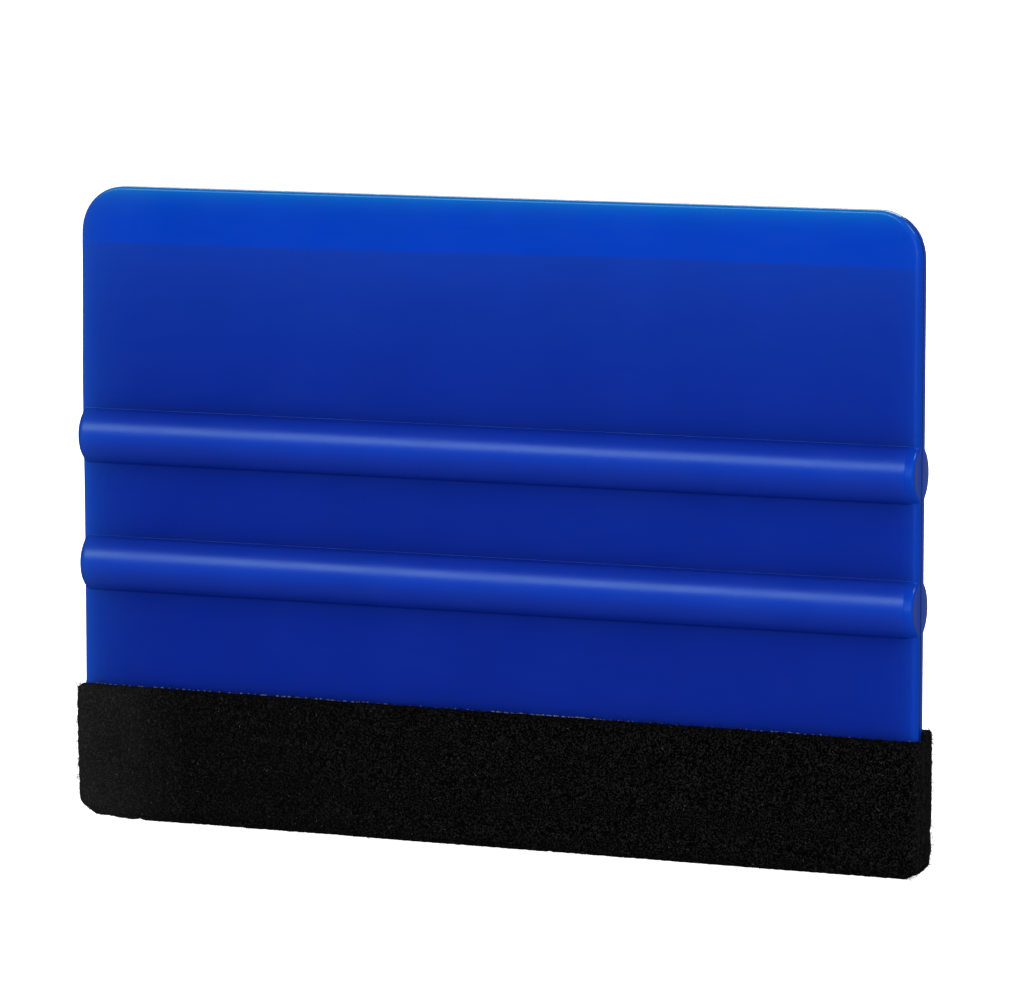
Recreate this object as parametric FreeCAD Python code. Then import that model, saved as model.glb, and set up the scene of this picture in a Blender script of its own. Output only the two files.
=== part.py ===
import FreeCAD, Part
import math
import os

# A hand card for laying vinyl film: a moulded card with two grip ribs on each face, and a strip of felt
# stuck round its lower edge. Millimetres. X runs along the working edges, Y through the thickness with the
# front at -Y, and Z up to the plain edge. The origin is the middle of the felt edge, where it meets the film.

# Card
card_width = 100.2
card_height = 71.1
card_thickness = 2.2
corner_radius = 5.0
bevel_height = 6.1
tip_thickness = 1.6
edge_round = 0.2
card_shift = -0.03

# Grip ribs, the same on both faces
rib_chord = 6.3
rib_crest = 3.0
rib_end_round = 0.8
rib_heights = (29.55, 44.15)

# Felt and its adhesive, folded round the card's lower edge
adhesive_thickness = 0.1
felt_thickness = 1.4
felt_width = 101.3
front_flap_top = 15.4
back_flap_top = 16.0
felt_corner_round = 1.5

# Worked out from the dimensions above
felt_offset = adhesive_thickness + felt_thickness
card_bottom = felt_offset
card_top = card_bottom + card_height
panel_half = card_thickness / 2
tip_half = tip_thickness / 2
bevel_angle = math.atan((panel_half - tip_half) / bevel_height)
clear = 5.0

ALONG = FreeCAD.Vector(1, 0, 0)
BACKWARD = FreeCAD.Vector(0, 1, 0)


def point(x, y, z):
    return FreeCAD.Vector(x, y, z)


def line(start, end):
    return Part.LineSegment(start, end).toShape()


def arc(centre, radius, start, turn, place):
    """An arc about centre = (a, b). Angles are in degrees, and place turns a pair (a, b) into a point."""
    angles = [math.radians(start + turn * share) for share in (0, 0.5, 1)]
    ring = [place(centre[0] + radius * math.cos(t), centre[1] + radius * math.sin(t)) for t in angles]
    return Part.Arc(*ring).toShape()


def joined(pieces):
    """A closed wire through the arcs and points given in order, with straight lines between them."""
    ends = []
    for piece in pieces:
        if isinstance(piece, FreeCAD.Vector):
            ends.append((piece, piece, None))
        else:
            ends.append((piece.valueAt(piece.FirstParameter), piece.valueAt(piece.LastParameter), piece))
    edges = []
    for number, (start, end, edge) in enumerate(ends):
        if edge is not None:
            edges.append(edge)
        following = ends[(number + 1) % len(ends)][0]
        if end.distanceToPoint(following) > 1e-7:
            edges.append(line(end, following))
    return Part.Wire(edges)


def blank(depth):
    """The card's outline, a rectangle with round corners, drawn out to depth on both sides of mid-thickness."""

    def place(x, z):
        return point(x, -depth, z)

    across = card_width / 2 - corner_radius
    high = card_top - corner_radius
    low = card_bottom + corner_radius
    corners = ((across, high, 0), (-across, high, 90), (-across, low, 180), (across, low, 270))
    outline = joined([arc((x, z), corner_radius, start, 90, place) for x, z, start in corners])
    return Part.Face(outline).extrude(BACKWARD * 2 * depth)


def bar(section):
    """A section in the plane X = 0 drawn out to both sides, past the card's ends."""
    reach = card_width / 2 + clear
    face = Part.Face(section)
    face.translate(ALONG * -reach)
    return face.extrude(ALONG * 2 * reach)


def plate():
    """The card without its ribs: flat panels, a bevel at each long edge of each face, and rounded edges."""
    profile = [
        (tip_half, card_bottom),
        (panel_half, card_bottom + bevel_height),
        (panel_half, card_top - bevel_height),
        (tip_half, card_top),
    ]
    profile += [(-y, z) for y, z in reversed(profile)]
    section = joined([point(0, y, z) for y, z in profile])
    sharp = blank(panel_half).common(bar(section))
    nearly = 0.01
    rims = []
    for edge in sharp.Edges:
        box = edge.BoundBox
        runs_through = box.YLength > tip_thickness - nearly
        on_tip = abs(box.ZMin - card_bottom) < nearly or abs(box.ZMax - card_top) < nearly
        crease = box.XLength > card_width / 2 and not on_tip
        if not runs_through and not crease:
            rims.append(edge)
    return sharp.makeFillet(edge_round, rims)


def rib(height):
    """One grip rib on the front: a long round bar sunk in the panel, with its ends rounded."""
    rise = rib_crest - panel_half
    radius = ((rib_chord / 2) ** 2 + rise**2) / (2 * rise)
    centre_y = radius - rib_crest
    sunk = panel_half / 2
    spread = math.degrees(math.acos((centre_y + sunk) / radius))

    def place(a, b):
        return point(0, a, b)

    section = joined([arc((centre_y, height), radius, 180 - spread, 2 * spread, place)])
    plain = blank(rib_crest).common(bar(section))
    ends = [edge for edge in plain.Edges if edge.BoundBox.XLength < 1 and edge.BoundBox.YMin < -panel_half]
    return plain.makeFillet(rib_end_round, ends)


def blade_card():
    card = plate()
    for height in rib_heights:
        front = rib(height)
        card = card.fuse([front, front.mirror(point(0, 0, 0), BACKWARD)])
    card.translate(ALONG * card_shift)
    return card


def wrapped_section(offset, front_top, back_top):
    """The section of the card's lower edge, grown outwards by offset and closed across the top."""
    across = tip_half - edge_round * (1 - math.sin(bevel_angle)) / math.cos(bevel_angle)
    level = card_bottom + edge_round
    radius = edge_round + offset
    slope = math.degrees(bevel_angle)
    wide = panel_half + offset
    crease = card_bottom + bevel_height - offset * math.tan(bevel_angle / 2)

    def place(a, b):
        return point(0, a, b)

    return joined(
        [
            point(0, -wide, front_top),
            point(0, -wide, crease),
            arc((-across, level), radius, 180 + slope, 90 - slope, place),
            arc((across, level), radius, 270, 90 - slope, place),
            point(0, wide, crease),
            point(0, wide, back_top),
        ]
    )


def folded_layer(inner, outer):
    """A layer of the felt edge from inner to outer, measured outwards from the card's surface."""
    above = front_flap_top + back_flap_top
    layer = bar(wrapped_section(outer, front_flap_top, back_flap_top))
    layer = layer.cut(bar(wrapped_section(inner, above, above)))

    def place(x, z):
        return point(x, -clear, z)

    across = felt_width / 2
    turn_in = across - felt_corner_round
    trim = joined(
        [
            point(across, -clear, above),
            point(-across, -clear, above),
            arc((-turn_in, felt_corner_round), felt_corner_round, 180, 90, place),
            arc((turn_in, felt_corner_round), felt_corner_round, 270, 90, place),
        ]
    )
    return layer.common(Part.Face(trim).extrude(BACKWARD * 2 * clear))


parts = {
    "blade_card": blade_card(),
    "adhesive_film": folded_layer(0, adhesive_thickness),
    "felt_strip": folded_layer(adhesive_thickness, felt_offset),
}

os.makedirs("parts", exist_ok=True)
for name, shape in parts.items():
    solids = shape.Solids
    box = shape.BoundBox
    print(f"{name}: {len(solids)} solid, valid {shape.isValid()}, {shape.Volume:.1f} mm3")
    print(f"  X {box.XMin:.2f} to {box.XMax:.2f}, Y {box.YMin:.2f} to {box.YMax:.2f}, Z {box.ZMin:.2f} to {box.ZMax:.2f}")
    Part.makeCompound(solids).exportStep(f"parts/{name}.step")
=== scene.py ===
import bpy
import math

import numpy as np
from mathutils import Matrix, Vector, noise


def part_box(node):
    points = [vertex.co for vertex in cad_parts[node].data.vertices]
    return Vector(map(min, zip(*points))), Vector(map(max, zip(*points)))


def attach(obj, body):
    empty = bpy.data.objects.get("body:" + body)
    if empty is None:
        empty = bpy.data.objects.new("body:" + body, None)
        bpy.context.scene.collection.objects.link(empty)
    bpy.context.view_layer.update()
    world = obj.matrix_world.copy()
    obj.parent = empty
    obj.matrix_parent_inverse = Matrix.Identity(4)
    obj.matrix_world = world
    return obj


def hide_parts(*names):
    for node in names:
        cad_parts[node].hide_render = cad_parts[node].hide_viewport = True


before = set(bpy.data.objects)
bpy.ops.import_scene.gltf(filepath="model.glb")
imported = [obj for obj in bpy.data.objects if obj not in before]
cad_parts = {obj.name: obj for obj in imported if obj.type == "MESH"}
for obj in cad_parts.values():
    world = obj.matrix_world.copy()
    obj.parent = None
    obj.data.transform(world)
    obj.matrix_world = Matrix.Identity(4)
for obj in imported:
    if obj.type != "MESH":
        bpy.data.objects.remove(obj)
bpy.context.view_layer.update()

# A hand card for laying vinyl film: a moulded blue card with two grip ribs on each face, and a strip of
# black felt glued round its lower edge. The shapes are worked out in millimetres in the frame's own axes, and
# turned into metres when a mesh is made. X runs along the card, Y through it with the front at -Y, and Z up.

MM = 0.001
card_low, card_high = (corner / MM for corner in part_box("blade_card"))
felt_low, felt_high = (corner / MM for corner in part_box("felt_strip"))

# Card, outline and section
card_middle = (card_low + card_high) / 2
half_width = (card_high.x - card_low.x) / 2
half_height = (card_high.z - card_low.z) / 2
card_bottom = card_low.z
card_top = card_high.z
corner_radius = 5.0
bevel_height = 6.1
panel_half = 1.1
tip_half = 0.8
side_round = 0.17
right_front_round = 0.75
tip_round = 0.34
draft = 0.02
parting_depth = 0.05
parting_half = 0.14
side_bow = 0.12

# Card, grip ribs
rib_chord = 6.3
rib_crest = card_high.y
right_end_length = 1.0
right_end_drop = 0.34
right_end_round = 0.26
left_end_round = 0.85
rib_root_blend = 0.04
rib_middles = (card_bottom + 28.05, card_bottom + 42.65)
rib_rise = rib_crest - panel_half
rib_radius = ((rib_chord / 2) ** 2 + rib_rise**2) / (2 * rib_rise)
rib_axis = rib_crest - rib_radius

# Felt and adhesive
adhesive_thickness = 0.1
felt_thickness = 1.4
felt_half = (felt_high.x - felt_low.x) / 2
felt_outside = adhesive_thickness + felt_thickness
card_edge_round = 0.2
front_flap_top = 15.4
back_flap_top = felt_high.z

# Camera, in degrees and millimetres
camera_aim = (1.412, 0.0, 38.615)
camera_yaw = 22.664
camera_pitch = 7.348
camera_distance = 640.48
camera_lens = 206.1


# Small tools


def new_object(name, points, faces):
    """A mesh object from points in millimetres."""
    mesh = bpy.data.meshes.new(name)
    mesh.from_pydata((np.asarray(points, float) * MM).tolist(), [], faces)
    mesh.validate()
    mesh.polygons.foreach_set("use_smooth", [True] * len(mesh.polygons))
    mesh.update()
    obj = bpy.data.objects.new(name, mesh)
    bpy.context.scene.collection.objects.link(obj)
    return obj


def set_values(obj, name, values):
    """One number for each vertex, for a material to read."""
    attribute = obj.data.attributes.new(name, "FLOAT", "POINT")
    attribute.data.foreach_set("value", np.asarray(values, np.float32))


def ramp(x, low, high):
    """0 below low, 1 above high, and smooth between them."""
    share = np.clip((np.asarray(x, float) - low) / (high - low), 0, 1)
    return share * share * (3 - 2 * share)


def lumps(points, size, octaves=1, seed=0.0):
    """Smooth noise of about -1 to 1 at each point, with lumps of about that size in millimetres."""
    shift = Vector((seed, seed * 1.7, -seed))
    return np.array([noise.fractal(Vector(p) / size + shift, 1.0, 2.0, octaves) for p in points])


def hump(x, middle, width):
    """1 at the middle, falling off smoothly to both sides over about that width."""
    return np.exp(-(((x - middle) / width) ** 2))


def fading(distance, reach):
    """1 at distance 0 and below, dying away over about that reach."""
    return np.exp(-np.maximum(distance, 0) / reach)


def rounding(inset, radius):
    """How far a rounded edge falls below its face, at this distance in from the edge."""
    short = np.clip(radius - inset, 0, radius)
    return radius - np.sqrt(radius**2 - short**2)


def soft_max(a, b, blend):
    """The larger of two heights, with a smooth blend where they are nearly equal."""
    near = np.maximum(blend - np.abs(a - b), 0) / blend
    return np.maximum(a, b) + near * near * blend / 4


def spaced(low, high, step):
    """Even places from low to high, no more than step apart."""
    return list(np.linspace(low, high, max(1, math.ceil((high - low) / step - 1e-6)) + 1))


def patch(grid, forward):
    """The faces of a rectangular grid of point numbers."""
    corners = np.stack([grid[:-1, :-1], grid[1:, :-1], grid[1:, 1:], grid[:-1, 1:]], axis=-1)
    quads = corners.reshape(-1, 4).tolist()
    return quads if forward else [quad[::-1] for quad in quads]


def band(outer, inner, forward):
    """The faces between two closed rings of the same number of points."""
    quads = []
    for here in range(len(outer)):
        after = (here + 1) % len(outer)
        quads.append([outer[here], outer[after], inner[after], inner[here]])
    return quads if forward else [quad[::-1] for quad in quads]


def without_repeats(face):
    """A face without the points that it holds twice."""
    return [int(point) for place, point in enumerate(face) if point != face[place - 1]]


# Card


def panel_surface(z):
    """Half the card's thickness at height z, without ribs: flat, with a bevel towards each long edge."""
    from_end = np.minimum(z - card_bottom, card_top - z)
    return tip_half + (panel_half - tip_half) * np.clip(from_end / bevel_height, 0, 1)


def card_surface(x, z, inset, edge_round):
    """How far the card's face stands from mid-thickness at x and height z, this far in from the outline.
    The ribs slope off at their right ends, and are rounded at their left ends."""
    surface = panel_surface(z) - rounding(inset, edge_round)
    sloped = right_end_drop * np.clip(1 - inset / right_end_length, 0, 1) + rounding(inset, right_end_round)
    end_drop = np.where(x > 0, sloped, rounding(inset, left_end_round))
    for middle in rib_middles:
        away = z - middle
        radius = rib_radius - end_drop
        rib = rib_axis + np.sqrt(np.maximum(radius**2 - away**2, 0))
        surface = soft_max(surface, rib, rib_root_blend)
    return surface


def height_lines():
    """The heights of the mesh's long lines: close together on the ribs, their roots and the creases."""
    low = card_bottom + corner_radius
    high = card_top - corner_radius
    end_gap = 0.2
    closest = 0.015
    widest = 1.0
    crease_steps = (-0.9, -0.35, -0.1, 0, 0.1, 0.35, 0.9)
    lines = []
    for crease in (card_bottom + bevel_height, card_top - bevel_height):
        lines += [crease + step for step in crease_steps]
    root_steps = (-0.26, -0.12, -0.05, -0.02, 0, 0.02, 0.05, 0.12, 0.25, 0.5, 1.0)
    arc_steps = 20
    spread = math.asin(rib_chord / 2 / rib_radius)
    for middle in rib_middles:
        for step in root_steps:
            lines += [middle - rib_chord / 2 - step, middle + rib_chord / 2 + step]
        turns = np.linspace(-spread, spread, arc_steps + 1)[1:-1]
        lines += [middle + rib_radius * math.sin(turn) for turn in turns]
    lines = sorted(line for line in lines if low + end_gap < line < high - end_gap)
    kept = [low]
    for line in lines + [high]:
        if line - kept[-1] > closest:
            kept += spaced(kept[-1], line, widest)[1:]
    kept[-1] = high
    return kept


def outline(inset, across, up, turns):
    """The card's outline drawn in by inset, as rows of (x, z, nx, nz), the same number for every inset.
    across and up are the places along its straight sides, and turns the angles within a corner."""
    radius = corner_radius - inset
    right = half_width - corner_radius
    top = half_height - corner_radius
    points = []
    sides = (
        (0, [(x, -top) for x in across], (0, -1), (right, -top)),
        (1, [(right, z) for z in up], (1, 0), (right, top)),
        (2, [(x, top) for x in reversed(across)], (0, 1), (-right, top)),
        (3, [(-right, z) for z in reversed(up)], (-1, 0), (-right, -top)),
    )
    for number, run, (nx, nz), (corner_x, corner_z) in sides:
        points += [(x + nx * radius, z + nz * radius, nx, nz) for x, z in run]
        start = math.radians(90 * (number - 1))
        for turn in turns:
            turned_x = math.cos(start + turn)
            turned_z = math.sin(start + turn)
            points.append((corner_x + turned_x * radius, corner_z + turned_z * radius, turned_x, turned_z))
    return np.array(points)


def card_sway(x, z):
    """The small wander in height of the upper crease, which isn't quite straight on a moulding."""
    crease = card_top - bevel_height
    ends_below = 0.25
    rise = 0.35
    wander = rise * hump(x, 20, 30) - ends_below
    return wander * (1 - ramp(np.abs(z - crease), 0.3, 4.0))


def card_bow(x, z):
    """How far the left side bows out above the ribs, where the moulding isn't quite straight."""
    to_left = np.clip(-x / half_width, 0, 1)
    return -side_bow * hump(z, rib_middles[1] + 5, 9) * to_left**4


def strayed(rows, height):
    """Points of the card at those heights, moved by the crease's wander and the side's bow."""
    rows[:, 2] += card_sway(rows[:, 0], height)
    rows[:, 0] += card_bow(rows[:, 0], height)
    return rows


def edge_round_at(nx, nz, side):
    """The rounding of the card's edge on one face, where the outline faces (nx, nz). It is largest on the
    front of the right side."""
    end_round = np.where((nx > 0) & (side < 0), right_front_round, side_round)
    return end_round + (tip_round - end_round) * nz**2


def make_card():
    """The card as one closed skin: on each face, rings that follow the outline and a grid inside them, and a
    wall round the side that joins the two faces."""
    up = [z - card_middle.z for z in height_lines()]
    across = spaced(-(half_width - corner_radius), half_width - corner_radius, 1.0)
    corner_steps = 14
    turns = [math.radians(90) * step / corner_steps for step in range(1, corner_steps)]
    edge_insets = (0, 0.012, 0.04, 0.09, 0.15, 0.22, 0.3, 0.38, 0.46, 0.6, 0.78)
    insets = edge_insets + (0.92, 1.0, 1.08, 1.25, 1.6, 2.2, 3.2)
    wall_shares = (0.85, 0.7, 0.55)
    points = []
    insets_used = []
    faces = []

    def add(rows, inset):
        first = len(points)
        points.extend(rows.tolist())
        insets_used.extend(np.broadcast_to(inset, len(rows)).tolist())
        return list(range(first, first + len(rows)))

    def placed(ring, inset, side):
        """Points of one ring on the front, side = -1, or the back, side = 1."""
        x, z, nx, nz = ring.T
        height = z + card_middle.z
        y = card_surface(x, height, inset, edge_round_at(nx, nz, side))
        drawn_in = draft * y * (1 - ramp(inset, 0, 1.5))
        rows = np.stack([x - nx * drawn_in + card_middle.x, side * y, height - nz * drawn_in], axis=1)
        return strayed(rows, height)

    grid_x, grid_z = np.meshgrid(across, up, indexing="ij")
    rings_of_side = {}
    for side in (-1, 1):
        rings = [add(placed(outline(inset, across, up, turns), inset, side), inset) for inset in insets]
        flat = np.stack([grid_x.ravel(), grid_z.ravel(), 0 * grid_x.ravel(), 0 * grid_x.ravel()], axis=1)
        from_side = np.minimum(half_width - np.abs(flat[:, 0]), half_height - np.abs(flat[:, 1]))
        grid = np.array(add(placed(flat, corner_radius, side), from_side)).reshape(grid_x.shape)
        rim = []
        corners = (grid[-1, 0], grid[-1, -1], grid[0, -1], grid[0, 0])
        runs = (grid[:, 0], grid[-1, :], grid[::-1, -1], grid[0, ::-1])
        for run, corner in zip(runs, corners):
            rim += list(run) + [corner] * len(turns)
        rings.append(rim)
        rings_of_side[side] = rings
        for outer, inner in zip(rings, rings[1:]):
            faces += band(outer, inner, side < 0)
        faces += patch(grid, side < 0)

    x, z, nx, nz = outline(0, across, up, turns).T
    height = z + card_middle.z
    levels = [np.zeros(len(x))]
    for side in (-1, 1):
        half = card_surface(x, height, 0.0, edge_round_at(nx, nz, side))
        rising = [np.full(len(x), side * parting_half * share) for share in (0.5, 1.0, 1.2)]
        rising += [side * half * share for share in reversed(wall_shares)]
        levels = rising[::-1] + levels if side < 0 else levels + rising
    wall = [rings_of_side[-1][0]]
    for level in levels:
        out = -parting_depth * (1 - ramp(np.abs(level), 0, parting_half)) - draft * np.abs(level)
        rows = np.stack([x + nx * out + card_middle.x, level, height + nz * out], axis=1)
        wall.append(add(strayed(rows, height), 0.0))
    wall.append(rings_of_side[1][0])
    for near, far in zip(wall, wall[1:]):
        faces += band(far, near, True)

    points = np.array(points)
    # A moulding is never quite flat: shallow waves about a hundredth of a millimetre deep.
    waves = 0.012 * lumps(points, 24.0, 2, 3.0) + 0.003 * lumps(points, 5.0, 2, 8.0)
    outward = np.sign(points[:, 1]) * (np.abs(points[:, 1]) > panel_half / 2)
    points[:, 1] += outward * waves
    card = new_object("card", points, [without_repeats(face) for face in faces])

    set_card_values(card, points, np.array(insets_used))
    return card


def set_card_values(card, points, inset):
    """The values that the plastic's colour depends on, all of them painted light and shade, and the ribs'
    satin finish.
    It is painted lighter where it is thin and near its edges, for light coming through it, and lighter on the
    ribs and just above their ridges; the ribs' end faces are painted greyer as a reflection, and painted
    shade darkens it beside the ribs, along the mould seam on the side wall and just above the felt."""
    height = points[:, 2] - card_sway(points[:, 0], points[:, 2])
    crease = card_top - bevel_height
    # Painted light: a lighter band just above each rib's ridge, where its highlight falls.
    crest_lift = 0.6
    crest_width = 1.25
    crest_light_humps = [hump(height, middle + crest_lift, crest_width) for middle in rib_middles]
    on_rib = ramp(np.abs(points[:, 1]), panel_half + 0.1, panel_half + 0.6)
    on_wall = inset < 0.01
    from_root = np.min([np.abs(height - middle) for middle in rib_middles], axis=0) - rib_chord / 2
    # Painted shade beside the ribs' roots and just above the felt.
    shade_beside_rib = np.where(from_root > 0, fading(from_root, 1.3), 0.5 * fading(-from_root, 0.6))
    shade_above_felt = fading(height - front_flap_top, 0.9)
    past_slope = ramp(inset, right_end_length - 0.02, right_end_length + 0.1)
    past_slope = np.where(points[:, 0] > 0, past_slope, 1)
    at_left = ramp(-points[:, 0], half_width - 12, half_width - 5)
    values = {
        # Painted light: the ribs are painted lighter than the panels, for light on their flanks.
        "painted_rib_light": on_rib,
        "satin": on_rib * past_slope,
        # Painted light: lighter near every edge, for light coming through the plastic.
        "painted_edge_light": fading(inset, 0.9),
        # Painted light: lighter and paler near the left end's edges.
        "painted_left_light": at_left * (0.6 * fading(inset, 0.5) + 0.4 * fading(inset, 3.0)),
        # Painted reflection: the ribs' end faces are painted greyer.
        "painted_rib_end_reflection": on_rib * on_wall,
        # Painted light: the thin top edge painted bright, for light coming through it.
        "painted_tip_light": fading(card_top - height, 0.75),
        # Painted light: the panel painted lighter towards the upper crease.
        "painted_top_light": fading(crease - height, 10.0),
        # Painted light: the bevels are painted lighter and bluer than the panel.
        "bevel": ramp(height, crease - 0.12, crease + 0.12),
        # Painted light: a lighter band just above each rib's ridge, round its highlight.
        "painted_crest_light": on_rib * np.max(crest_light_humps, axis=0),
        # Painted shade beside the ribs' roots and just above the felt.
        "shade": np.maximum(shade_beside_rib, shade_above_felt),
        # Painted shade: darkened along the mould seam round the side wall.
        "parting_line_shade": on_wall * hump(points[:, 1], 0, parting_half),
    }
    for name, value in values.items():
        set_values(card, name, value)


# Felt and adhesive, wrapped round the card's lower edge


def wrap_path():
    """The card's skin from the front flap's top edge, down round the lower edge and up to the back flap's:
    the distance along the felt, and there the skin's place (y, z) and its outward direction."""
    slope = math.atan((panel_half - tip_half) / bevel_height)
    across = tip_half - card_edge_round * (1 - math.sin(slope)) / math.cos(slope)
    level = card_bottom + card_edge_round
    crease = card_bottom + bevel_height
    arc_steps = 12
    bend = 0.5
    rows = [(-panel_half, front_flap_top, -1, 0), (-panel_half, crease + bend, -1, 0)]
    for step in range(arc_steps + 1):
        turn = math.radians(180) + slope + (math.radians(90) - slope) * step / arc_steps
        ny, nz = math.cos(turn), math.sin(turn)
        if step == 0:
            rows.append((-panel_half + bend * math.tan(slope), crease - bend, ny, nz))
        rows.append((-across + card_edge_round * ny, level + card_edge_round * nz, ny, nz))
    rows += [(-y, z, -ny, nz) for y, z, ny, nz in reversed(rows)]
    rows[-1] = (panel_half, back_flap_top, 1, 0)
    rows = np.array(rows)
    places = rows[:, :2] + rows[:, 2:] * felt_outside
    steps = np.linalg.norm(np.diff(places, axis=0), axis=1)
    return np.concatenate([[0], np.cumsum(steps)]), rows


path_run, path_rows = wrap_path()
path_length = path_run[-1]


def wrapped(run, x, out):
    """Points on the wrap: run is the distance along it from the front flap's top edge, x the place along the
    card, and out the distance from the skin."""
    y, z, ny, nz = (np.interp(run, path_run, path_rows[:, column]) for column in range(4))
    size = np.hypot(ny, nz)
    past_end = np.maximum(-run, 0) + np.maximum(run - path_length, 0)
    return np.stack([x, y + out * ny / size, z + out * nz / size + past_end], axis=-1)


def wrapped_sheet(name, run_steps, shares, place, through):
    """A closed sheet folded round the card's lower edge. place(run share, share along, outside) gives its
    points, with outside = 1 on the outer face and 0 on the inner face. through is how many rows of points
    there are between the two faces."""
    runs = np.linspace(0, 1, run_steps + 1)
    loop = [(run, 1.0) for run in runs]
    loop += [(1.0, 1 - step / (through + 1)) for step in range(1, through + 1)]
    loop += [(run, 0.0) for run in runs[::-1]]
    loop += [(0.0, step / (through + 1)) for step in range(1, through + 1)]
    loop_run, loop_out = np.array(loop).T
    count = len(loop)
    points = []
    faces = []
    for number, share in enumerate(shares):
        points.append(place(loop_run, np.full(count, share), loop_out))
        ring = list(range(number * count, (number + 1) * count))
        if number > 0:
            faces += band([point - count for point in ring], ring, True)
    total = count * len(shares)
    for first, share, flip in ((0, shares[0], True), (total - count, shares[-1], False)):
        cap = np.zeros((run_steps + 1, through + 2), int)
        cap[:, 0] = first + np.arange(run_steps + 1)
        cap[:, -1] = first + run_steps + through + np.arange(run_steps + 1, 0, -1)
        for step in range(1, through + 1):
            cap[-1, step] = first + run_steps + step
            cap[0, step] = first + count - step
            inside = np.arange(total, total + run_steps - 1)
            cap[1:-1, step] = inside
            out = np.full(run_steps - 1, 1 - step / (through + 1))
            points.append(place(runs[1:-1], np.full(run_steps - 1, share), out))
            total += run_steps - 1
        faces += patch(cap, flip)
    return new_object(name, np.concatenate(points), faces)


def felt_ends(height):
    """Where the felt's left and right ends are at a height: its lower left corner is cut, and its lower right
    corner round."""
    cut_heights = (0.0, 0.5, 0.9, 1.35, 1.8, 2.3, 4.0)
    cut_insets = (1.5, 1.2, 0.9, 0.55, 0.2, 0.05, 0.0)
    right_corner_round = 1.9
    left = -felt_half + 0.08 + np.interp(height, cut_heights, cut_insets)
    right = felt_half + 0.07 - rounding(np.maximum(height, 0), right_corner_round)
    return left, right


def flap_rise(run, x):
    """How far the flaps' hand-cut top edges stray from level, fading out down each flap."""
    fade = 8.0
    points = np.stack([x, 0 * x, 0 * x], axis=-1)
    front_ragged = 0.06 * lumps(points, 2.6, 2, 11.0) + 0.05 * lumps(points, 0.7, 2, 13.0)
    front_rise = -0.0035 * x - 0.02 + front_ragged
    back_rise = 0.0015 * x + 0.07 * lumps(points, 3.3, 2, 17.0)
    at_front = 1 - ramp(run, 0, fade)
    at_back = ramp(run, path_length - fade, path_length)
    return at_front * front_rise + at_back * back_rise


def fold_lift(x, z):
    """The fold curls up a little towards the left end and has a small nick where that begins."""
    nick_place = 7.2 - felt_half
    nick_width = 0.45
    nick_depth = 0.2
    curl_height = 0.3
    curl = curl_height * (1 - ramp(x, nick_place - 6.0, nick_place))
    nick = nick_depth * hump(x, nick_place, nick_width)
    return (curl + nick) * (1 - ramp(z, 0.3, 3.0))


def felt_nap(x, run):
    """The unevenness of the felt's face, in fine and broad lumps."""
    surface = np.stack([x, run, 0 * run], axis=-1).reshape(-1, 3)
    fine = 0.08 * lumps(surface, 0.7, 3, 2.0)
    broad = 0.05 * lumps(surface, 9.0, 2, 4.0)
    return (fine + broad).reshape(np.shape(x))


def end_fill(x):
    """How much of the gap between the flaps is filled by fibres, past the card's ends."""
    past_end = np.maximum(card_low.x - x, x - card_high.x)
    return ramp(past_end, 0.04, 0.25)


def felt_place(run_share, share, outside):
    """Points of the felt. Its ends and edges are ragged and worn, its faces are lumpy, and its two flaps meet
    past the card's ends."""
    end_bulge = 0.1
    top_bulge = 0.06
    top_corner_round = 0.4
    run = run_share * path_length
    outermost = wrapped(run, 0 * run, np.full(len(run), felt_outside))
    left, right = felt_ends(outermost[:, 2])
    rows = np.stack([0 * run, run, 0 * run], axis=-1)
    left = left + 0.13 * lumps(rows, 1.0, 3, 5.0) + 0.06 * lumps(rows, 0.45, 2, 6.0)
    right = right + 0.16 * lumps(rows, 1.6, 3, 7.0) + 0.06 * lumps(rows, 0.45, 2, 9.0)
    x = left + (right - left) * share
    from_top = np.minimum(run, path_length - run)
    near_end = ramp(np.abs(x), half_width - 1.5, half_width)
    x = x - rounding(np.maximum(from_top, 0), top_corner_round) * np.sign(x) * near_end
    from_edge = np.minimum(np.minimum(x - left, right - x), from_top)
    # The outer edges are worn round, most of all at the front of the right end.
    worn_round = 0.3 + 0.8 * ramp(x, 0, 5) * (1 - ramp(run, 10, 17))
    sideways = np.abs((outermost - wrapped(run, 0 * run, 0 * run))[:, 1]) / felt_outside
    inner = adhesive_thickness - (panel_half + adhesive_thickness) * end_fill(x) * sideways
    outer = felt_outside - rounding(np.maximum(from_edge, 0), worn_round) + felt_nap(x, run)
    out = inner + (outer - inner) * outside
    at_end = (share == 0) | (share == 1)
    bulge = end_bulge * (1 - outside**2) * np.where(share < 0.5, -1, 1) * at_end
    points = wrapped(run, x + bulge, out)
    at_top = (run_share == 0) | (run_share == 1)
    points[:, 2] += flap_rise(run, x) + top_bulge * 4 * outside * (1 - outside) * at_top
    points[:, 2] += fold_lift(x, points[:, 2])
    points[:, 2] = np.maximum(points[:, 2], 0.0)
    return points


def make_felt():
    """The felt strip as one closed folded sheet, with its mesh closer together at the ends."""
    ends = [0, 0.0004, 0.001, 0.0018]
    step = 0.0028
    shares = ends + spaced(step, 1 - step, step) + [1 - share for share in reversed(ends)]
    return wrapped_sheet("felt", 120, shares, felt_place, 3)


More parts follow.
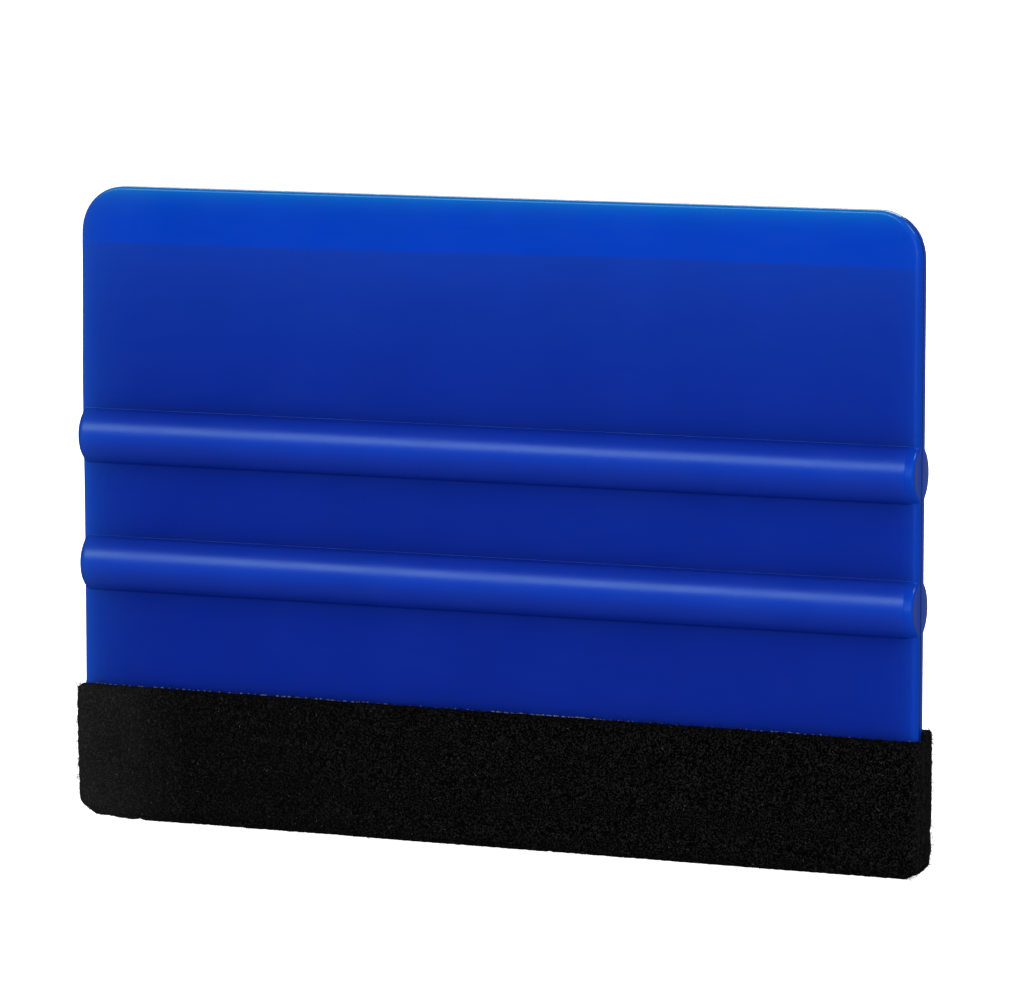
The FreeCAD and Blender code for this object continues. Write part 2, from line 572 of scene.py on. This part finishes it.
def glue_place(run_share, share, outside):
    """Points of the glue, squeezed out a little in places above the felt's top edges. It stops short of the
    card's ends, and further in where the card's lower corners are round."""
    end_gap = 0.3
    corner_gap = 3.2
    face_gap = 0.01
    top_depth = 0.6
    squeezed_out = 0.11
    drawn_back = 0.12
    run = run_share * path_length
    level = wrapped(run, 0 * run, 0 * run)[:, 2]
    low = 1 - ramp(level, card_bottom, card_bottom + corner_radius)
    x = (share - 0.5) * 2 * (half_width - end_gap - corner_gap * low)
    along = np.stack([x, 0 * x, 0 * x], axis=-1)
    squeeze = lumps(along, 0.3, 3, 23.0) + 0.5 * lumps(along, 14.0, 1, 29.0)
    rise = squeezed_out * ramp(squeeze, 0.05, 0.35) - drawn_back * (1 - ramp(squeeze, -0.1, 0.1))
    at_top = 1 - ramp(np.minimum(run, path_length - run), 0, top_depth)
    points = wrapped(run, x, face_gap + (adhesive_thickness - 2 * face_gap) * outside)
    points[:, 2] += flap_rise(run, x) + rise * at_top
    return points


def make_glue():
    """The adhesive between the card and the felt."""
    return wrapped_sheet("glue_line", 40, spaced(0, 1, 0.0013), glue_place, 1)


def make_fibres(name, count, seed, lengths, radius, lifts, at_rims=0.0):
    """Loose fibres lying on the felt: thin tapered tubes that curve in its face and lift a little from it.
    at_rims is the share of them that stick out of the felt's cut ends and top edges."""
    on_top_share = 0.4
    bend_spread = 2.5
    knots = 4
    draws = np.random.default_rng(seed)
    share = np.linspace(0, 1, knots)
    length = draws.uniform(*lengths, count)
    heading = draws.uniform(0, 2 * math.pi, count)
    bend = draws.normal(0, bend_spread, count)
    angle = heading[:, None] + bend[:, None] * length[:, None] * share
    step = length[:, None] / (knots - 1)
    at_rim = draws.uniform(0, 1, count) < at_rims
    on_top_edge = at_rim & (draws.uniform(0, 1, count) < on_top_share)
    start = draws.uniform(0, 1, count)
    start = np.where(on_top_edge, np.round(start), start)
    run = (path_length * start)[:, None] + np.cumsum(np.sin(angle) * step, axis=1)
    height = wrapped(run[:, 0], 0 * run[:, 0], np.full(count, felt_outside))[:, 2]
    left, right = felt_ends(height)
    place = draws.uniform(0, 1, count)
    place = np.where(at_rim & ~on_top_edge, np.round(place), place)
    depth = np.where(at_rim, draws.uniform(-0.4, 1, count), 1.0)[:, None]
    depth = np.where(on_top_edge[:, None], np.maximum(depth, 0.15), depth)
    x = (left + (right - left) * place)[:, None] + np.cumsum(np.cos(angle) * step, axis=1)
    lift = draws.uniform(*lifts, count)[:, None] * np.sin(math.pi * share) ** 0.7
    out = (felt_outside + felt_nap(x, run)) * depth + lift
    centre = wrapped(run, x, out)
    upward = wrapped(run, x, out + 1) - centre
    centre[..., 2] += flap_rise(run.ravel(), x.ravel()).reshape(x.shape)
    centre[..., 2] += fold_lift(x, centre[..., 2])
    along = np.gradient(centre, axis=1)
    along /= np.linalg.norm(along, axis=-1, keepdims=True)
    sideways = np.cross(along, upward)
    sideways /= np.maximum(np.linalg.norm(sideways, axis=-1, keepdims=True), 1e-6)
    upward = np.cross(sideways, along)
    taper = radius * (1 - 0.6 * np.abs(2 * share - 1) ** 3)[:, None]
    rings = []
    for turn in (90, 210, 330):
        spoke = math.cos(math.radians(turn)) * sideways + math.sin(math.radians(turn)) * upward
        rings.append(centre + taper * spoke)
    points = np.stack(rings, axis=2).reshape(-1, 3)
    points[:, 2] = np.maximum(points[:, 2], 0.0)
    faces = []
    for fibre in range(count):
        first = fibre * knots * 3
        last = first + knots * 3 - 1
        faces.append([first + 2, first + 1, first])
        faces.append([last - 2, last - 1, last])
        for near in range(first, last - 3, 3):
            faces += band([near, near + 1, near + 2], [near + 3, near + 4, near + 5], True)
    fibres = new_object(name, points, faces)
    set_values(fibres, "tone", np.repeat(draws.uniform(0, 1, count) ** 3, knots * 3))
    return fibres


# Materials


def new_material(name):
    """A material with an empty node tree, its Principled shader and its object coordinates."""
    material = bpy.data.materials.new(name)
    material.use_nodes = True
    tree = material.node_tree
    tree.nodes.clear()
    output = tree.nodes.new("ShaderNodeOutputMaterial")
    shader = tree.nodes.new("ShaderNodeBsdfPrincipled")
    tree.links.new(shader.outputs["BSDF"], output.inputs["Surface"])
    place = tree.nodes.new("ShaderNodeTexCoord").outputs["Object"]
    return material, tree, shader, place


def connect(tree, value, socket):
    """Links a socket to the input, or sets the input to a plain value."""
    if isinstance(value, bpy.types.NodeSocket):
        tree.links.new(value, socket)
    elif hasattr(socket.default_value, "__len__") and len(value) == 3:
        socket.default_value = (*value, 1.0)
    else:
        socket.default_value = value


def mesh_value(tree, name):
    """The value that the mesh stores for each vertex under that name."""
    node = tree.nodes.new("ShaderNodeAttribute")
    node.attribute_name = name
    return node.outputs["Fac"]


def blend(tree, share, first, second):
    """A mix of two colours."""
    node = tree.nodes.new("ShaderNodeMix")
    node.data_type = "RGBA"
    node.clamp_factor = True
    connect(tree, share, node.inputs["Factor"])
    connect(tree, first, [s for s in node.inputs if s.name == "A" and s.type == "RGBA"][0])
    connect(tree, second, [s for s in node.inputs if s.name == "B" and s.type == "RGBA"][0])
    return [s for s in node.outputs if s.type == "RGBA"][0]


def calculated(tree, operation, first, second):
    """Two values put together, by adding or multiplying them."""
    node = tree.nodes.new("ShaderNodeMath")
    node.operation = operation
    connect(tree, first, node.inputs[0])
    connect(tree, second, node.inputs[1])
    return node.outputs[0]


def spread(tree, value, low, high, to_low, to_high):
    """A value's range low to high, spread over another range."""
    node = tree.nodes.new("ShaderNodeMapRange")
    for number, item in enumerate((value, low, high, to_low, to_high)):
        connect(tree, item, node.inputs[number])
    return node.outputs[0]


def grain(tree, place, size, detail=2.0, stretch=(1, 1, 1)):
    """Noise from 0 to 1 with lumps of that size in millimetres."""
    mapping = tree.nodes.new("ShaderNodeMapping")
    mapping.inputs["Scale"].default_value = [1 / (size * MM * part) for part in stretch]
    tree.links.new(place, mapping.inputs["Vector"])
    node = tree.nodes.new("ShaderNodeTexNoise")
    node.inputs["Scale"].default_value = 1.0
    node.inputs["Detail"].default_value = detail
    tree.links.new(mapping.outputs["Vector"], node.inputs["Vector"])
    return node.outputs[0]


def bump(tree, height, distance, strength, below=None):
    """A bump of that depth in millimetres."""
    node = tree.nodes.new("ShaderNodeBump")
    node.inputs["Distance"].default_value = distance * MM
    node.inputs["Strength"].default_value = strength
    connect(tree, height, node.inputs["Height"])
    if below is not None:
        tree.links.new(below, node.inputs["Normal"])
    return node.outputs[0]


def plastic_material():
    """Blue moulded plastic. Its colour follows the values stored on the card, which paint light and shade
    into it, and the ribs are a little more matt than the panels."""
    material, tree, shader, place = new_material("blue_polypropylene")
    black = (0.0, 0.0, 0.0)
    # Painted light and shade, each row: what the card stores, how strongly it shows, and its colour
    layers = (
        ("painted_top_light", 1.0, (0.0050, 0.040, 0.40)),
        ("painted_rib_light", 1.0, (0.0030, 0.023, 0.335)),
        ("painted_crest_light", 1.0, (0.0012, 0.038, 0.46)),
        ("shade", 0.34, black),
        ("bevel", 1.0, (0.0003, 0.043, 0.50)),
        ("painted_edge_light", 0.7, (0.0025, 0.058, 0.50)),
        ("painted_left_light", 1.0, (0.0120, 0.072, 0.44)),
        ("painted_tip_light", 0.9, (0.0020, 0.190, 0.56)),
        ("painted_rib_end_reflection", 1.0, (0.0300, 0.062, 0.27)),
        ("parting_line_shade", 0.8, black),
    )
    colour = (0.0028, 0.0185, 0.285)
    for name, strength, tint in layers:
        share = calculated(tree, "MULTIPLY", mesh_value(tree, name), strength)
        colour = blend(tree, share, colour, tint)
    cloud = grain(tree, place, 14.0, 3.0)
    colour = blend(tree, spread(tree, cloud, 0.35, 0.65, 0.07, 0.0), colour, black)
    connect(tree, colour, shader.inputs["Base Color"])
    scuff = grain(tree, place, 1.2, 4.0, (6.0, 1.0, 1.0))
    mottle = grain(tree, place, 6.0, 3.0)
    worn = spread(tree, calculated(tree, "ADD", scuff, mottle), 0.7, 1.3, -0.03, 0.04)
    satin = mesh_value(tree, "satin")
    roughness = spread(tree, satin, 0.0, 1.0, 0.17, 0.31)
    connect(tree, calculated(tree, "ADD", roughness, worn), shader.inputs["Roughness"])
    shader.inputs["IOR"].default_value = 1.49
    shader.inputs["Specular Tint"].default_value = (0.62, 1.0, 1.0, 1.0)
    fine = grain(tree, place, 0.16, 2.0)
    fine = calculated(tree, "MULTIPLY", fine, spread(tree, satin, 0.0, 1.0, 0.3, 1.0))
    soft = grain(tree, place, 1.4, 2.0)
    below = bump(tree, soft, 0.004, 0.6)
    connect(tree, bump(tree, fine, 0.012, 0.8, below), shader.inputs["Normal"])
    return material


def felt_material(name, dark, light):
    """Black felt, with pits and paler tufts. It is greyer and smoother towards its left end, and its right
    end face is painted lighter, for light that it doesn't get."""
    material, tree, shader, place = new_material(name)
    fleck = grain(tree, place, 0.19, 1.5)
    cloud = grain(tree, place, 5.0, 3.0)
    axes = tree.nodes.new("ShaderNodeSeparateXYZ")
    tree.links.new(place, axes.inputs[0])
    along = axes.outputs["X"]
    left_end = -felt_half * MM
    right_end = felt_half * MM
    grey_end = left_end + 14 * MM
    smooth_end = left_end + 60 * MM
    painted_end_light_from = right_end - 0.7 * MM
    greying_to_left = spread(tree, along, left_end, grey_end, 1.0, 0.0)
    greying_to_left = calculated(tree, "MULTIPLY", greying_to_left, spread(tree, cloud, 0.3, 0.6, 0.6, 1.0))
    # Painted light: the felt's right end face is painted lighter, for light it doesn't get.
    painted_end_light = spread(tree, along, painted_end_light_from, right_end, 0.0, 0.3)
    greyer = calculated(tree, "ADD", greying_to_left, painted_end_light)
    palest = spread(tree, along, left_end, smooth_end, 0.66, 0.95)
    darkest = spread(tree, along, left_end, smooth_end, 0.08, 0.0)
    pale = spread(tree, fleck, 0.47, 0.74, darkest, palest)
    pits = blend(tree, greyer, dark, (0.0065, 0.0065, 0.0066))
    tufts = blend(tree, greyer, light, (0.04, 0.04, 0.0405))
    connect(tree, blend(tree, pale, pits, tufts), shader.inputs["Base Color"])
    return material, tree, shader, place, fleck


def felt_face_material():
    """The felt's own surface, between and behind its loose fibres."""
    dark = (0.0002, 0.0002, 0.0002)
    light = (0.015, 0.015, 0.0153)
    material, tree, shader, place, fleck = felt_material("black_felt", dark, light)
    finish_felt(shader)
    connect(tree, spread(tree, fleck, 0.3, 0.7, 0.8, 1.0), shader.inputs["Roughness"])
    strands = grain(tree, place, 0.13, 2.0, (1.0, 1.0, 2.5))
    below = bump(tree, fleck, 0.12, 1.0)
    connect(tree, bump(tree, strands, 0.06, 1.0, below), shader.inputs["Normal"])
    return material


def fibre_material(name, dark, light):
    """Fibres of the felt, each with its own tone."""
    material, tree, shader, _, fleck = felt_material(name, dark, light)
    finish_felt(shader)
    felt_colour = shader.inputs["Base Color"].links[0].from_socket
    connect(tree, blend(tree, mesh_value(tree, "tone"), felt_colour, light), shader.inputs["Base Color"])
    connect(tree, spread(tree, fleck, 0.3, 0.7, 0.5, 0.8), shader.inputs["Roughness"])
    return material


def finish_felt(shader):
    """The dry, hardly shiny surface of felt fibres."""
    shader.inputs["Specular IOR Level"].default_value = 0.04
    shader.inputs["Sheen Weight"].default_value = 0.003
    shader.inputs["Sheen Roughness"].default_value = 0.5


def glue_material():
    """Clear glue, with pale patches painted in as the glints of its squeezed-out beads."""
    material, tree, shader, place = new_material("clear_glue")
    thick = (0.03, 0.04, 0.09)
    painted_glint = (0.32, 0.32, 0.34)
    cloud = grain(tree, place, 0.6, 2.0)
    # Painted highlight: the pale colour stands in for glints on the clear glue.
    connect(tree, blend(tree, cloud, thick, painted_glint), shader.inputs["Base Color"])
    connect(tree, spread(tree, cloud, 0.3, 0.7, 0.25, 0.45), shader.inputs["Roughness"])
    connect(tree, bump(tree, grain(tree, place, 0.2, 2.0), 0.02, 0.6), shader.inputs["Normal"])
    return material


# Studio


def floor_material():
    """A pale floor, bright enough to look white."""
    material, _, shader, _ = new_material("pale_floor")
    shader.inputs["Base Color"].default_value = (0.8, 0.8, 0.8, 1)
    shader.inputs["Roughness"].default_value = 0.8
    shader.inputs["Emission Color"].default_value = (1, 1, 1, 1)
    shader.inputs["Emission Strength"].default_value = 1.0
    return material


def make_floor():
    """A wide round floor. It isn't mirrored in the part and throws no light on it."""
    reach = 5.0
    steps = 64
    turns = [2 * math.pi * step / steps for step in range(steps)]
    mesh = bpy.data.meshes.new("floor")
    rim = [(reach * math.cos(turn), reach * math.sin(turn), 0.0) for turn in turns]
    mesh.from_pydata(rim, [], [list(range(steps))])
    floor = bpy.data.objects.new("floor", mesh)
    bpy.context.scene.collection.objects.link(floor)
    mesh.materials.append(floor_material())
    floor.visible_glossy = False
    floor.visible_diffuse = False


def direction_of(azimuth, elevation):
    """The direction from the part, in degrees: azimuth 0 is in front of it, and 90 to its right."""
    turn = math.radians(azimuth)
    rise = math.radians(elevation)
    return Vector((math.sin(turn) * math.cos(rise), -math.cos(turn) * math.cos(rise), math.sin(rise)))


def make_light(name, azimuth, elevation, distance, size, radiance, glossy=True):
    """An area light aimed at the card's middle, of that size and distance in metres. Without glossy it fills
    in shade and isn't mirrored in the plastic."""
    back = direction_of(azimuth, elevation)
    data = bpy.data.lights.new(name, "AREA")
    data.shape = "RECTANGLE"
    data.size, data.size_y = size
    data.energy = radiance * math.pi * size[0] * size[1]
    light = bpy.data.objects.new(name, data)
    light.location = Vector(card_middle) * MM + back * distance
    light.rotation_mode = "QUATERNION"
    light.rotation_quaternion = back.to_track_quat("Z", "Y")
    light.visible_glossy = glossy
    bpy.context.scene.collection.objects.link(light)


def make_lights():
    """A key light and a fill light in front, a rim light at the right, and a pair of lights behind."""
    make_light("key", -22.7, 27, 0.7, (0.5, 0.24), 3.8)
    make_light("fill", 35, 12, 0.8, (0.5, 0.5), 5.6, glossy=False)
    make_light("rim", 88, 46, 0.7, (0.2, 0.25), 5.0)
    make_light("back_key", 202, 26, 0.7, (0.5, 0.24), 3.6)
    make_light("back_fill", 190, 12, 0.8, (0.5, 0.5), 4.8, glossy=False)


def make_world():
    """White to the camera, a dim grey room to diffuse light, and dark in reflections, apart from behind."""
    world = bpy.data.worlds.new("studio")
    world.use_nodes = True
    tree = world.node_tree
    tree.nodes.clear()
    output = tree.nodes.new("ShaderNodeOutputWorld")
    background = tree.nodes.new("ShaderNodeBackground")
    path = tree.nodes.new("ShaderNodeLightPath")
    direction = tree.nodes.new("ShaderNodeTexCoord").outputs["Generated"]
    axes = tree.nodes.new("ShaderNodeSeparateXYZ")
    tree.links.new(direction, axes.inputs[0])
    tree.links.new(background.outputs[0], output.inputs["Surface"])
    behind = spread(tree, axes.outputs["Y"], 0.85, 0.97, 0.0, 0.16)
    room = spread(tree, axes.outputs["Z"], -0.3, 0.3, 0.5, 0.3)
    seen = blend(tree, path.outputs["Is Glossy Ray"], room, behind)
    colour = blend(tree, path.outputs["Is Camera Ray"], seen, (1.05, 1.05, 1.05))
    connect(tree, colour, background.inputs["Color"])
    bpy.context.scene.world = world


def make_camera():
    """A camera in front of the card, a little to its right and above it, aimed near its middle."""
    back = direction_of(camera_yaw, camera_pitch)
    data = bpy.data.cameras.new("camera")
    data.lens = camera_lens
    data.sensor_width = 36.0
    camera = bpy.data.objects.new("camera", data)
    camera.location = (Vector(camera_aim) + back * camera_distance) * MM
    camera.rotation_mode = "QUATERNION"
    camera.rotation_quaternion = back.to_track_quat("Z", "Y")
    bpy.context.scene.collection.objects.link(camera)
    bpy.context.scene.camera = camera


def finish_piece(piece, material):
    """Gives a piece its material and its slot, and fixes it to the part's one body."""
    piece.data.materials.append(material)
    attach(piece, "root")


make_camera()
make_world()
make_floor()
make_lights()
bpy.context.scene.view_settings.view_transform = "Standard"

card = make_card()
finish_piece(card, plastic_material())
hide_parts("blade_card")

felt = make_felt()
finish_piece(felt, felt_face_material())
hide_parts("felt_strip")
black_fibre = fibre_material("black_fibre", (0.0004, 0.0004, 0.0004), (0.024, 0.024, 0.0245))
grey_fibre = fibre_material("grey_fibre", (0.03, 0.03, 0.031), (0.16, 0.16, 0.165))
nap = make_fibres("felt_nap", 9500, 41, (0.15, 0.6), 0.02, (0.01, 0.1))
finish_piece(nap, black_fibre)
fuzz = make_fibres("felt_fuzz", 9500, 47, (0.12, 0.5), 0.022, (0.06, 0.26), at_rims=0.75)
finish_piece(fuzz, black_fibre)
lint = make_fibres("felt_lint", 900, 43, (0.12, 0.5), 0.017, (0.03, 0.14))
finish_piece(lint, grey_fibre)

glue = make_glue()
finish_piece(glue, glue_material())
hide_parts("adhesive_film")
